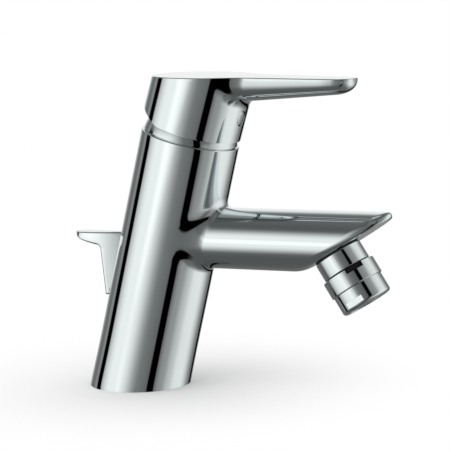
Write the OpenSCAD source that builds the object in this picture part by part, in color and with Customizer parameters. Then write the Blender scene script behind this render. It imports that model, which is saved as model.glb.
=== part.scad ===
// Bidet mixer: leaning body with a level spout, lift-and-turn lever, swivel nozzle and pop-up pull.
// Millimetres, +Z up, +X towards the spout. The origin is the centre of the base face.

/* [Body] */
// Lean of the body towards the spout, in degrees
lean = 15; // [12:0.5:17]
// Radius of the body
body_r = 23; // [22.8:0.1:24]
// Length of the body on its axis, from the base to the top seam
body_len = 122; // [118:0.5:128]
// Growth of the radius at the foot
foot_flare = 0.4; // [0.1:0.1:0.8]
// Length over which the foot grows
foot_h = 30; // [20:1:40]
// Wall of the hollow foot
foot_wall = 4; // [3.6:0.1:5]
// Depth of the hollow foot on the body's axis
foot_depth = 40; // [36:1:42]
// Chamfer on the body's top edge
rim_chamfer = 0.5; // [0.2:0.1:0.8]

/* [Spout] */
// Height of the spout's axis
spout_z = 71; // [67:0.5:73]
// Radius of the spout
spout_r = 14.15; // [13.8:0.05:15]
// Distance from the base centre to where the mouth plane cuts the spout's axis
mouth_x = 111; // [104:0.5:120]
// Slant of the mouth plane from the horizontal, in degrees
mouth_tilt = 32.5; // [30:0.5:36]
// Blend radius above the spout, where it leaves the body
blend_top = 4.5; // [2.5:0.5:6]
// Blend radius below the spout
blend_low = 2.5; // [1.5:0.5:4]
// Blend radius at the sides of the spout
blend_side = 6.2; // [4:0.2:6.4]
// Rounding length of the mouth's edge at its tip
edge_tip = 3.8; // [2:0.2:4.4]
// Rounding length of the mouth's edge at its heel
edge_heel = 5; // [2:0.2:6]
// Rounding length of the mouth's edge at its sides
edge_side = 2.1; // [1:0.1:2.4]
// Radius of the water way in the spout
channel_r = 6; // [4:0.5:6]

/* [Inlets and fixing] */
// Thread core radius of the hose inlets
inlet_r = 4.45; // [4:0.05:4.6]
// Depth of the inlet threads
inlet_depth = 12; // [8:1:14]
// Distance of the inlets from the middle plane
inlet_y = 9.6; // [9.4:0.1:10.5]
// Radius of the inlet water ways
way_r = 3; // [2:0.1:3.2]
// Thread core radius of the fixing stud
stud_r = 3.4; // [2.5:0.1:4]
// Depth of the stud's thread
stud_depth = 20; // [12:1:24]
// Outer radius of the stud's boss
stud_boss_r = 5.5; // [5:0.1:5.6]
// Inset of the base seal's inner edge from the body's surface
seal_inset = 2.4; // [2.1:0.1:2.7]
// Width and height of the base seal
seal_w = 1.6; // [1.2:0.1:1.8]

/* [Pop-up pull] */
// Depth of the pull rod's axis inside the body's back, at the base
rod_in = 10.2; // [9.6:0.1:10.6]
// Radius of the pull rod
rod_r = 2.5; // [2:0.1:2.6]
// Height of the knob's flat top
knob_top = 72.5; // [68:0.1:80]
// Height of the knob's lower end
knob_foot = 42.3; // [40.5:0.1:44]
// Reach of the knob's finger lip beyond the body's back, at the base
knob_reach = 8.4; // [6:0.1:13]
// Depth of the finger lip under the knob's top
lip_h = 6.2; // [5:0.2:8]
// Half the thickness of the knob
knob_half = 4.5; // [4:0.1:5]
// Radius of the knob's boss, which slides in the body
boss_r = 3.2; // [3:0.05:3.3]
// Gap between the knob and the body's back
knob_gap = 0.7; // [0.5:0.1:1.2]

/* [Lever] */
// Radius of the lever's cap
cap_r = 23.5; // [23.3:0.1:24.2]
// Forward tilt of the closed cap against the body's axis, in degrees
cap_tilt = 2.8; // [1:0.2:3.4]
// Offset of the cap's axis behind the lift pivot
cap_back = 0.9; // [0.3:0.1:1]
// Height of the cap's lower edge above the lift pivot
cap_low = 7; // [6.6:0.1:8]
// Height of the cap's top above the lift pivot, on the cap's axis
cap_high = 32.4; // [31:0.2:36]
// Downward slope of the flat top towards the handle's tip, in degrees
top_slope = 1.5; // [0:0.5:4]
// Slant of the cut under the cap's rear edge, in degrees
rear_cut = 20.4; // [18:0.2:24]
// Where the rear cut starts, behind the lift pivot
rear_start = 8; // [6:0.5:10]
// Length of the handle from the cap's axis
handle_len = 74.9; // [65:0.1:95]
// Half width of the handle at its root
root_half = 12.4; // [11:0.1:13]
// Half width of the handle near its tip
tip_half = 9.4; // [8:0.1:11]
// Thickness of the handle at its root
root_thick = 11.3; // [9:0.1:12]
// Thickness of the handle near its tip
tip_thick = 7.5; // [5:0.1:8.5]
// Length over which the handle's tip rounds off in plan
nose_len = 14; // [10:0.5:18]
// Blend radius at the sides of the handle's root
side_blend = 6; // [4:0.5:6]
// Blend radius under the handle's root
under_blend = 4; // [2:0.5:5]
// Radius of the index plug
plug_r = 3.5; // [2.6:0.1:3.6]
// Height of the index plug above the lift pivot
plug_h = 18.7; // [17.6:0.1:20]

/* [Cartridge] */
// Outer radius of the cartridge
cart_r = 17.3; // [16.5:0.1:17.4]
// Height of the lift pivot below the body's top seam
pivot_drop = 2.5; // [2:0.1:3]
// Radius of the domed shroud about the lift pivot
dome_r = 22.2; // [22:0.05:22.3]
// Height of the shroud's top above the lift pivot
dome_top = 12.5; // [12:0.1:12.8]
// Side of the square spindle
spindle_w = 7.8; // [6:0.1:8]
// Radius of the pivot pin
pin_r = 1.5; // [1.2:0.1:1.8]
// Radius of the moving disc
disc_r = 10; // [9.8:0.1:10]
// Thickness of each ceramic disc
disc_h = 3.6; // [3:0.1:4]

/* [Nozzle] */
// Distance of the nozzle's axis below the spout's axis, along the mouth plane
nozzle_drop = 8.5; // [6:0.5:10]
// Height of the washer that shows between the spout's mouth and the barrel
washer_gap = 1.2; // [0.8:0.1:1.4]
// Radius of the connector's visible barrel
barrel_r = 11.4; // [11.2:0.05:11.5]
// Radius of the cup
cup_r = 12.8; // [12.7:0.05:13.4]
// Distance of the cup's upper edge from the mouth plane
cup_top = 9.7; // [9:0.1:11]
// Height of the cup
cup_h = 8; // [7.6:0.1:10]
// Radius of the aerator housing
aerator_r = 12.1; // [11.6:0.1:12.6]
// Height of the aerator housing
aerator_h = 9.2; // [9:0.1:13]
// Radius of the ball
ball_r = 8.5; // [8:0.1:8.6]
// Width of the notch in the cup's edge
notch_w = 8.6; // [5:0.2:10]
// Depth of the notch in the cup's edge
notch_h = 2.2; // [1.4:0.1:2.6]
// Turn of the notch from the side towards the front, in degrees
notch_turn = 38; // [0:1:90]

/* [Fits] */
// Radial clearance of running fits
run = 0.05; // [0.02:0.01:0.08]
// Clearance of seated pieces
seat = 0.1; // [0.05:0.01:0.15]
// Gap between pieces that move past each other
gap = 0.3; // [0.3:0.05:0.4]

/* [Hidden] */
$fn = 64;
far = 200;

// Places that follow the body's radius
seal_r = body_r - seal_inset;
rod_back = body_r - rod_in;
knob_back = body_r + knob_reach;

// Cartridge bay, measured on the body's axis
bay_r = cart_r + gap;
bay_floor = body_len - 34;
nut_r = bay_r + 1.9;
nut_floor = body_len - 14;
skirt_r = 21;
skirt_floor = body_len - 4;

// Cartridge stack, measured on the body's axis
base_z = bay_floor + 0.2;
base_top = base_z + 4.8;
fixed_z = base_top;
moving_z = fixed_z + disc_h + gap;
carrier_z = moving_z + disc_h;
house_top = body_len - 10;
house_in = bay_r - 3.1;
lid_h = 2.5;
neck_r = 13.2;
neck_top = house_top + 5;
neck_in = 11.2;
flange_top = house_top - lid_h - gap;
flange_z = flange_top - 2.6;
pivot_z = body_len - pivot_drop;
rotor_top = pivot_z + 6.5;
carrier_top = flange_z - gap;
ball_end_z = carrier_top - 1.6;
arm = pivot_z - ball_end_z;
ball_end_r = 3.1;
slot_half = spindle_w / 2 + gap;
slot_back = 8;
slot_front = 9;
port_x = -2;
port_y = inlet_y;
outlet_x = 9;
outlet_r = 3.6;
lift_max = 24;
disc_travel = arm * (sin(lift_max - cap_tilt) + sin(cap_tilt));
disc_x = -disc_travel / 2 + 1;
feed_x = 4.2;
feed_y = 4.3;
feed_r = 1.8;
drain_x = -3.4;
drain_r = 2;
groove_h = 2.4;
pocket_r = 4;
pocket_h = 1.6;
pocket_back = 1.2;
tail_len = 7;
tail_half = 2.5;

// Lever, measured from the lift pivot along the cap's axis
cap_lean = lean + cap_tilt;
cave_r = dome_r + gap;
ceiling = 18.8;
socket_r = 8;
socket_low = 14;
socket_top = 28;
screw_r = 2;
screw_end = 17;
plug_in = 3;

// Nozzle, measured from the mouth plane along the nozzle's axis
nozzle_x = mouth_x - nozzle_drop * cos(mouth_tilt);
nozzle_z = spout_z - nozzle_drop * sin(mouth_tilt);
spigot_r = 9.9;
spigot_in = 7;
washer_h = 1;
washer_r = barrel_r - 0.5;
barrel_n = washer_gap + seat / 2;
ball_n = cup_top;
seat_out = ball_r + run + 1.4;
cave_n = seat_out + run;
barrel_end = cup_top - 0.5;
nose_r = 10.4;
nose_end = cup_top + 3;
cup_in = cup_r - 0.7;
cup_floor = cup_top + 5.9;
cup_end = cup_top + cup_h;
neck_n_r = 5.5;
neck_end = cup_end + 2.4;
aerator_end = cup_end + aerator_h;
chamber_r = 9.8;

// Frames

module on_body() {
    rotate([0, lean, 0])
        children();
}

module on_pivot() {
    rotate([0, lean, 0])
        translate([0, 0, pivot_z])
            rotate([0, cap_tilt, 0])
                children();
}

module on_top() {
    on_pivot()
        translate([-cap_back, 0, cap_high])
            rotate([0, top_slope - cap_lean, 0])
                children();
}

module on_nozzle() {
    translate([nozzle_x, 0, nozzle_z])
        rotate([0, 180 - mouth_tilt, 0])
            children();
}

// Shared shapes

module tube(r_out, r_in, h) {
    difference() {
        cylinder(r = r_out, h = h);
        translate([0, 0, -1])
            cylinder(r = r_in, h = h + 2);
    }
}

// Closed skin over rings of points, each ring with the same count
module skin(rings) {
    n = len(rings[0]);
    m = len(rings);
    mid_a = [for (k = [0:2]) [for (p = rings[0]) p[k]] * [for (p = rings[0]) 1] / n];
    mid_b = [for (k = [0:2]) [for (p = rings[m - 1]) p[k]] * [for (p = rings[0]) 1] / n];
    points = concat([for (ring = rings, p = ring) p], [mid_a, mid_b]);
    sides = [
        for (i = [0:m - 2], j = [0:n - 1], half = [0, 1])
            let (a = i * n + j, b = i * n + (j + 1) % n)
            half == 0 ? [a, b, b + n] : [a, b + n, a + n]
    ];
    ends = [
        for (j = [0:n - 1], last = [0, 1])
            let (base = last * (m - 1) * n, a = base + j, b = base + (j + 1) % n)
            last == 0 ? [b, a, m * n] : [a, b, m * n + 1]
    ];
    polyhedron(points = points, faces = concat(sides, ends), convexity = 4);
}

// Spout: rings from inside the body, over the blend, along the barrel and round the mouth's edge

spout_n = 72;
// Depth under the surface at which a blend starts
tuck = 0.12;

function body_front(y, z) = (sqrt(body_r * body_r - y * y) + z * sin(lean)) / cos(lean);
blend_mid = (blend_top + blend_low) / 2;
function blend_at(a) =
    blend_mid + (blend_top - blend_low) / 2 * cos(a) + (blend_side - blend_mid) * pow(sin(a), 2);
function edge_at(a) = edge_side + ((cos(a) > 0 ? edge_tip : edge_heel) - edge_side) * pow(cos(a), 2);
function mouth_at(r, a) = [mouth_x + r * cos(a) / tan(mouth_tilt), r * sin(a), spout_z + r * cos(a)];
function unit(v) = v / norm(v);

function root_point(a, sunk) =
    let (r = spout_r + blend_at(a), y = r * sin(a), z = spout_z + r * cos(a))
    [body_front(y, z) - sunk, y, z];

function blend_point(a, turn) =
    let (
        b = blend_at(a),
        r = spout_r + b * (1 - sin(turn)),
        y = r * sin(a),
        z = spout_z + r * cos(a)
    )
    [body_front(y, z) + b * (1 - cos(turn)) - tuck, y, z];

function edge_point(a, part) =
    let (
        corner = mouth_at(spout_r, a),
        along = [-1, 0, 0],
        inward = unit(mouth_at(0, a) - corner),
        open = acos(along * inward),
        reach = edge_at(a),
        hub = corner + unit(along + inward) * reach / cos(open / 2),
        from = corner + along * reach - hub,
        to = corner + inward * reach - hub,
        sweep = 180 - open
    )
    hub + (from * sin((1 - part) * sweep) + to * sin(part * sweep)) / sin(sweep);

module spout_skin() {
    angles = [for (i = [0:spout_n - 1]) i * 360 / spout_n];
    skin(concat(
        [[for (a = angles) root_point(a, 4)]],
        [for (turn = [0:15:90]) [for (a = angles) blend_point(a, turn)]],
        [for (part = [0:1 / 6:1.001]) [for (a = angles) edge_point(a, part)]]
    ));
}

// Body

module body_outside() {
    difference() {
        on_body()
            rotate_extrude($fn = 96)
                polygon([
                    [0, -12],
                    [body_r + foot_flare, -12],
                    [body_r + foot_flare, 0],
                    [body_r, foot_h],
                    [body_r, body_len - rim_chamfer],
                    [body_r - rim_chamfer, body_len],
                    [0, body_len]
                ]);
        translate([-far / 2, -far / 2, -far])
            cube([far, far, far]);
    }
}

rod_bore = boss_r + 0.4;

module foot_hollow() {
    difference() {
        on_body()
            translate([0, 0, -12])
                cylinder(r = body_r - foot_wall, h = foot_depth + 12);
        cylinder(r = stud_boss_r, h = far);
        translate([-rod_back, 0, 8])
            cylinder(r = rod_bore + 2.4, h = far);
        translate([-rod_back, -3, 8])
            cube([rod_back, 6, far]);
    }
}

module body_ways() {
    on_body() {
        for (side = [-1, 1])
            translate([port_x, side * port_y, 0]) {
                translate([0, 0, foot_depth - 1])
                    cylinder(r = inlet_r, h = inlet_depth + 1);
                translate([0, 0, foot_depth])
                    cylinder(r = way_r, h = bay_floor - foot_depth + 1);
            }
        translate([outlet_x, 0, spout_z])
            cylinder(r = outlet_r, h = bay_floor - spout_z + 1);
        translate([0, 0, bay_floor])
            cylinder(r = bay_r, h = far);
        translate([0, 0, nut_floor])
            cylinder(r = nut_r, h = far);
        translate([0, 0, skirt_floor])
            cylinder(r = skirt_r, h = far);
    }
    way_start = spout_z * tan(lean) + 4;
    translate([way_start, 0, spout_z])
        rotate([0, 90, 0])
            cylinder(r = channel_r, h = nozzle_x - way_start);
    on_nozzle() {
        translate([0, 0, -spigot_in - 2])
            cylinder(r = spigot_r + seat, h = far);
        translate([0, 0, -washer_h])
            cylinder(r = washer_r + seat, h = far);
    }
}

module body() {
    color("silver")
        difference() {
            union() {
                body_outside();
                spout_skin();
            }
            foot_hollow();
            body_ways();
            translate([0, 0, -1])
                cylinder(r = stud_r, h = stud_depth + 1);
            translate([-rod_back, 0, -1])
                cylinder(r = rod_bore, h = far);
            translate([0, 0, -1])
                tube(seal_r + seal_w, seal_r, seal_w + 1);
        }
}

module base_seal() {
    color("dimgray")
        tube(seal_r + seal_w - seat / 2, seal_r + seat / 2, seal_w);
}

// Pop-up pull

guide_low = 10;
guide_high = 26;
rod_low = 3;
rod_high = knob_foot + 12;

module rod_guide() {
    color("white")
        translate([-rod_back, 0, guide_low])
            tube(rod_bore - run, rod_r + run, guide_high - guide_low);
}

module popup_rod() {
    color("silver")
        translate([-rod_back, 0, rod_low])
            cylinder(r = rod_r, h = rod_high - rod_low);
}

function back_at(z) = z * tan(lean) - body_r / cos(lean) - knob_gap;

stem_low = -rod_back - 2.9;
stem_high = -rod_back - 4.7;
crook = 2.2;
lip_z = knob_top - lip_h;

module knob_side() {
    lip_end = stem_high - crook;
    polygon(concat(
        [[back_at(knob_top), knob_top], [0.4 - knob_back, knob_top]],
        [
            for (u = [0:0.1:1.01])
                [
                    -knob_back + (lip_end + knob_back) * u * u,
                    knob_top - 0.4 - (lip_h - 0.4) * u
                ]
        ],
        [for (a = [20:10:90]) [lip_end + crook * sin(a), lip_z - crook * (1 - cos(a))]],
        [[stem_low, knob_foot + 1], [stem_low + 0.3, knob_foot + 0.3], [stem_low + 1, knob_foot]],
        [[back_at(knob_foot), knob_foot]]
    ));
}

module popup_knob() {
    color("gainsboro")
        difference() {
            union() {
                intersection() {
                    rotate([90, 0, 0])
                        linear_extrude(height = 2 * knob_half, center = true)
                            knob_side();
                    translate([0, 0, knob_foot - 1])
                        linear_extrude(height = knob_top - knob_foot + 2)
                            union() {
                                translate([knob_half - knob_back, 0])
                                    circle(r = knob_half);
                                translate([knob_half - knob_back, -knob_half])
                                    square([far, 2 * knob_half]);
                            }
                }
                translate([-rod_back, 0, knob_foot])
                    cylinder(r = boss_r, h = rod_high - knob_foot + 3);
            }
            translate([-rod_back, 0, knob_foot - 1])
                cylinder(r = rod_r + run, h = rod_high - knob_foot + 1);
        }
}

// Cartridge

module ports(r_in, r_out, low, high) {
    for (side = [-1, 1])
        translate([port_x, side * port_y, low])
            cylinder(r = r_in, h = high - low);
    translate([outlet_x, 0, low])
        cylinder(r = r_out, h = high - low);
}

seal_hole = way_r + 1.5;
seal_h = 1.2;

// Groove in the top of the cartridge's foot, from a lower port to a disc port
module groove(from, to, half) {
    run_x = to[0] - from[0];
    run_y = to[1] - from[1];
    translate([from[0], from[1], base_top - groove_h])
        rotate([0, 0, atan2(run_y, run_x)])
            translate([0, -half, 0])
                cube([norm([run_x, run_y]), 2 * half, far]);
    translate([to[0], to[1], base_top - groove_h])
        cylinder(r = half, h = far);
}

module cartridge_base() {
    color("white")
        on_body()
            difference() {
                translate([0, 0, base_z])
                    cylinder(r = cart_r, h = base_top - base_z);
                ports(way_r, outlet_r, base_z - 1, base_top + 1);
                ports(seal_hole, outlet_r + 1.5, base_z - 1, bay_floor + seal_h);
                for (side = [-1, 1])
                    groove([port_x, side * port_y], [feed_x, side * feed_y], feed_r);
                groove([outlet_x, 0], [drain_x, 0], 1.5);
            }
}

module port_seals() {
    color("dimgray")
        on_body()
            difference() {
                ports(seal_hole - seat, outlet_r + 1.5 - seat, bay_floor, bay_floor + seal_h);
                ports(way_r, outlet_r, bay_floor - 1, bay_floor + seal_h + 1);
            }
}

module cartridge_housing() {
    color("whitesmoke")
        on_body()
            difference() {
                union() {
                    translate([0, 0, base_top])
                        cylinder(r = cart_r, h = house_top - base_top);
                    translate([0, 0, house_top])
                        cylinder(r = neck_r, h = neck_top - house_top);
                }
                translate([0, 0, base_top - 1])
                    cylinder(r = house_in, h = house_top - lid_h - base_top + 1);
                translate([0, 0, base_top])
                    cylinder(r = neck_in, h = far);
            }
}

module fixed_disc() {
    color("linen")
        on_body()
            difference() {
                translate([0, 0, fixed_z])
                    cylinder(r = house_in - seat, h = disc_h);
                for (side = [-1, 1])
                    translate([feed_x, side * feed_y, fixed_z - 1])
                        cylinder(r = feed_r, h = disc_h + 2);
                translate([drain_x, 0, fixed_z - 1])
                    cylinder(r = drain_r, h = disc_h + 2);
            }
}

module moving_disc() {
    color("linen")
        on_body()
            difference() {
                translate([disc_x, 0, moving_z])
                    cylinder(r = disc_r, h = disc_h);
                translate([disc_x - pocket_back, 0, moving_z - 1])
                    cylinder(r = pocket_r, h = pocket_h + 1);
                translate([disc_x - pocket_back - tail_len, -tail_half, moving_z - 1])
                    cube([tail_len, 2 * tail_half, pocket_h + 1]);
            }
}

end_x = -arm * sin(cap_tilt);

module disc_carrier() {
    color("steelblue")
        on_body()
            difference() {
                translate([disc_x, 0, carrier_z])
                    cylinder(r = disc_r, h = carrier_top - carrier_z);
                translate([end_x, 0, ball_end_z - ball_end_r - gap])
                    cylinder(r = ball_end_r + run, h = far);
            }
}

module rotor() {
    color("khaki")
        on_body()
            difference() {
                union() {
                    translate([0, 0, flange_z])
                        cylinder(r = house_in - gap, h = flange_top - flange_z);
                    translate([0, 0, flange_z])
                        cylinder(r = neck_in - run, h = rotor_top - flange_z);
                }
                translate([-slot_back, -slot_half, flange_z - 1])
                    cube([slot_back + slot_front, 2 * slot_half, far]);
                translate([0, 0, pivot_z])
                    rotate([90, 0, 0])
                        cylinder(r = pin_r + run / 2, h = far, center = true);
            }
}

module pivot_pin() {
    color("silver")
        on_body()
            translate([0, 0, pivot_z])
                rotate([90, 0, 0])
                    cylinder(r = pin_r, h = 2 * neck_in - 2.4, center = true);
}

module spindle() {
    color("goldenrod")
        on_pivot()
            difference() {
                union() {
                    translate([-spindle_w / 2, -spindle_w / 2, 6 - arm])
                        cube([spindle_w, spindle_w, socket_top - 0.5 + arm - 6]);
                    translate([0, 0, -arm])
                        cylinder(r = ball_end_r - 0.7, h = 8);
                    translate([0, 0, -arm])
                        sphere(r = ball_end_r);
                }
                rotate([90, 0, 0])
                    cylinder(r = pin_r + run, h = far, center = true);
            }
}

module retaining_nut() {
    color("goldenrod")
        on_body()
            difference() {
                union() {
                    translate([0, 0, house_top])
                        cylinder(r = nut_r - seat, h = 6);
                    translate([0, 0, house_top + 6])
                        cylinder(r = 18.4, h = 2.6, $fn = 6);
                }
                translate([0, 0, house_top - 1])
                    cylinder(r = neck_r + seat, h = far);
            }
}

module shroud() {
    wall = 1.8;
    color("silver")
        on_body()
            difference() {
                union() {
                    translate([0, 0, skirt_floor + seat])
                        cylinder(r = skirt_r - seat, h = 8);
                    intersection() {
                        translate([0, 0, pivot_z])
                            sphere(r = dome_r, $fn = 96);
                        translate([0, 0, body_len])
                            cylinder(r = far, h = pivot_z + dome_top - body_len);
                    }
                }
                translate([0, 0, skirt_floor - 1])
                    cylinder(r = skirt_r - seat - 1.2, h = body_len - skirt_floor + 2);
                intersection() {
                    translate([0, 0, pivot_z])
                        sphere(r = dome_r - wall, $fn = 96);
                    translate([0, 0, skirt_floor])
                        cylinder(r = far, h = pivot_z + dome_top - wall - skirt_floor);
                }
                translate([0, 0, body_len])
                    cylinder(r = 14.5, h = far);
            }
}

// Lever: the cap is turned about the cap's axis, the handle is skinned over cross-sections

// The handle leaves the cap where the flat top has this lean against the cap's axis
root_lean = cap_lean - top_slope;
root_x = cap_r / cos(root_lean) + 1;
nose_start = handle_len - nose_len;
nose_power = 3;
bull_len = 8;
bull_edge = 2;
bull_start = handle_len - bull_len;
// Powers of the rounded cross-section along the handle and at its tip
belly_power = 4;
tip_power = 2;
belly_n = 9;

function cap_front(y, z) = sqrt(cap_r * cap_r - y * y) / cos(root_lean) + z * tan(root_lean);
function line_at(x, a, b) = a + (b - a) * (x - root_x) / (bull_start - root_x);
function nose_part(x) = max(0, x - nose_start) / nose_len;
function plan_half(x) =
    line_at(x, root_half, tip_half) * pow(1 - pow(nose_part(x), nose_power), 1 / nose_power);
function bull(x) = sqrt(max(0, 1 - pow(max(0, x - bull_start) / bull_len, 2)));
function thick(x) = bull_edge + (line_at(x, root_thick, tip_thick) - bull_edge) * bull(x);

// Point i of a cross-section with half width w, thickness t and power p, and its outward direction
function power_at(x) = belly_power + (tip_power - belly_power) * pow(nose_part(x), 2);
function belly_turn(i) = 2 + (i - 1) * 86 / (belly_n - 1);
function half_point(i, w, t, p) =
    i == 0 ? [w, 3] : [w * pow(cos(belly_turn(i)), 2 / p), -t * pow(sin(belly_turn(i)), 2 / p)];
function half_out(i, w, t, p) =
    i == 0 ? [1, 0] :
    unit([pow(cos(belly_turn(i)), 2 - 2 / p) / w, -pow(sin(belly_turn(i)), 2 - 2 / p) / t]);

// One point of the blend between cap and handle, at a turn of 0 on the cap and 90 on the handle
function root_blend_point(i, turn, sunk) =
    let (
        w = root_half,
        t = root_thick,
        p = belly_power,
        out = half_out(i, w, t, p),
        b = side_blend * pow(out[0], 2) + under_blend * pow(out[1], 2),
        q = half_point(i, w, t, p) + out * b * (1 - sin(turn))
    )
    [cap_front(q[0], q[1]) + b * (1 - cos(turn)) - tuck - sunk, q[0], q[1]];
function on_side(p, side) = [p[0], side * p[1], p[2]];
function root_ring(turn, sunk) = [
    for (side = [1, -1], k = [0:belly_n])
        on_side(root_blend_point(side > 0 ? k : belly_n - k, turn, sunk), side)
];
function handle_ring(x) = [
    for (side = [1, -1], k = [0:belly_n])
        let (q = half_point(side > 0 ? k : belly_n - k, plan_half(x), thick(x), power_at(x)))
        [x, side * q[0], q[1]]
];

module handle_skin() {
    first = root_x + under_blend + 2;
    last = handle_len - 8;
    skin(concat(
        [root_ring(0, 5)],
        [for (turn = [0:15:90]) root_ring(turn, 0)],
        [for (i = [0:6]) handle_ring(first + (last - first) * i / 6)],
        [for (a = [20:10:80]) handle_ring(handle_len - 8 * (1 - sin(a)))],
        [handle_ring(handle_len - 0.04)]
    ));
}

module cap_outside() {
    on_pivot()
        difference() {
            translate([-cap_back, 0, cap_low])
                cylinder(r = cap_r, h = 50, $fn = 96);
            translate([-rear_start, 0, cap_low])
                rotate([0, rear_cut, 0])
                    translate([-far, -far / 2, -far])
                        cube([far, far, far]);
        }
}

module cap_hollow() {
    difference() {
        intersection() {
            sphere(r = cave_r, $fn = 96);
            translate([0, 0, ceiling - far / 2])
                cube([far, far, far], center = true);
        }
        translate([0, 0, socket_low])
            cylinder(r = socket_r, h = far);
        translate([0, -4, socket_low + 1])
            cube([cave_r, 8, far]);
    }
}

module lever() {
    color("silver")
        difference() {
            union() {
                cap_outside();
                on_top()
                    handle_skin();
            }
            on_top()
                translate([-far / 2, -far / 2, 0])
                    cube([far, far, far]);
            on_pivot() {
                cap_hollow();
                translate([-spindle_w / 2 - run, -spindle_w / 2 - run, 0])
                    cube([spindle_w + 2 * run, spindle_w + 2 * run, socket_top]);
                translate([0, 0, plug_h])
                    rotate([0, 90, 0])
                        cylinder(r = screw_r + run, h = far);
                translate([cap_r - cap_back - plug_in, 0, plug_h])
                    rotate([0, 90, 0])
                        cylinder(r = plug_r + run, h = far);
            }
        }
}

module set_screw() {
    color("dimgray")
        on_pivot()
            translate([spindle_w / 2, 0, plug_h])
                rotate([0, 90, 0])
                    difference() {
                        cylinder(r = screw_r, h = screw_end - spindle_w / 2);
                        translate([0, 0, screw_end - spindle_w / 2 - 3])
                            cylinder(r = 1.1, h = 4, $fn = 6);
                    }
}

module index_plug() {
    color("silver")
        on_pivot()
            intersection() {
                translate([cap_r - cap_back - plug_in, 0, plug_h])
                    rotate([0, 90, 0])
                        cylinder(r = plug_r, h = plug_in + 1);
                translate([-cap_back, 0, 0])
                    cylinder(r = cap_r, h = 50, $fn = 96);
            }
}

// Nozzle

module nozzle_connector() {
    color("silver")
        on_nozzle()
            difference() {
                union() {
                    translate([0, 0, -spigot_in])
                        cylinder(r = spigot_r, h = spigot_in + barrel_n + 1);
                    translate([0, 0, barrel_n])
                        cylinder(r = barrel_r, h = barrel_end - barrel_n);
                    translate([0, 0, barrel_n])
                        cylinder(r = nose_r, h = nose_end - barrel_n);
                }
                translate([0, 0, ball_n])
                    sphere(r = cave_n);
                translate([0, 0, -spigot_in - 1])
                    cylinder(r = 5, h = far / 2);
            }
}

module connector_washer() {
    color("black")
        on_nozzle()
            translate([0, 0, -washer_h])
                tube(washer_r, spigot_r + seat / 2, washer_h + washer_gap);
}

module ball_seat() {
    color("ivory")
        on_nozzle()
            difference() {
                intersection() {
                    translate([0, 0, ball_n])
                        sphere(r = seat_out);
                    translate([0, 0, ball_n - 4])
                        cylinder(r = far, h = 6.4);
                }
                translate([0, 0, ball_n])
                    sphere(r = ball_r + run);
            }
}

module nozzle_ball() {
    color("goldenrod")
        on_nozzle()
            difference() {
                union() {
                    intersection() {
                        translate([0, 0, ball_n])
                            sphere(r = ball_r);
                        translate([0, 0, cup_floor - far])
                            cylinder(r = far, h = far);
                    }
                    translate([0, 0, ball_n])
                        cylinder(r = neck_n_r, h = neck_end - ball_n);
                    translate([0, 0, cup_floor - 1])
                        cylinder(r = neck_n_r + 1.3, h = 1);
                }
                translate([0, 0, -far / 2])
                    cylinder(r = 3.6, h = far);
            }
}

module nozzle_cup() {
    color("silver")
        on_nozzle()
            difference() {
                translate([0, 0, cup_top])
                    cylinder(r = cup_r, h = cup_h);
                translate([0, 0, cup_top - 1])
                    cylinder(r = cup_in, h = cup_floor - cup_top + 1);
                translate([0, 0, cup_floor - 1])
                    cylinder(r = neck_n_r + seat, h = far);
                rotate([0, 0, -notch_turn])
                    translate([-notch_w / 2, -far, cup_top - 1])
                        cube([notch_w, far, notch_h + 1]);
            }
}

module aerator_housing() {
    edge = 1.5;
    flat_low = cup_end + 4.2;
    flat_h = 2.6;
    color("silver")
        on_nozzle()
            difference() {
                union() {
                    translate([0, 0, cup_end])
                        cylinder(r = aerator_r, h = aerator_h - edge);
                    translate([0, 0, cup_end])
                        cylinder(r = aerator_r - edge, h = aerator_h);
                    translate([0, 0, aerator_end - edge])
                        rotate_extrude()
                            translate([aerator_r - edge, 0])
                                circle(r = edge);
                }
                translate([0, 0, cup_end - 1])
                    cylinder(r = neck_n_r + seat, h = far);
                translate([0, 0, neck_end])
                    cylinder(r = chamber_r, h = far);
                for (side = [-1, 1])
                    translate([0, side * (aerator_r - 0.7 + far / 2), flat_low + flat_h / 2])
                        cube([far, far, flat_h], center = true);
            }
}

module aerator_washer() {
    color("dimgray")
        on_nozzle()
            translate([0, 0, neck_end])
                tube(chamber_r - seat, 6, 1.4);
}

module aerator_insert() {
    pitch = 3.1;
    low = neck_end + 1.4;
    color("dimgray")
        on_nozzle()
            difference() {
                translate([0, 0, low])
                    cylinder(r = chamber_r - seat, h = aerator_end - 0.8 - low);
                for (i = [-2:2], j = [-2:2])
                    if (abs(i + j) < 3)
                        translate([(i + j / 2) * pitch, j * pitch * sin(60), low - 1])
                            cylinder(r = 1.15, h = far, $fn = 6);
            }
}

body();
base_seal();
rod_guide();
popup_rod();
popup_knob();
cartridge_base();
port_seals();
cartridge_housing();
fixed_disc();
moving_disc();
disc_carrier();
rotor();
pivot_pin();
spindle();
retaining_nut();
shroud();
lever();
set_screw();
index_plug();
nozzle_connector();
connector_washer();
ball_seat();
nozzle_ball();
nozzle_cup();
aerator_housing();
aerator_washer();
aerator_insert();
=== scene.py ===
import math

import bmesh
import bpy
import numpy as np
from mathutils import Matrix, Vector
from mathutils.geometry import delaunay_2d_cdt


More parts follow.
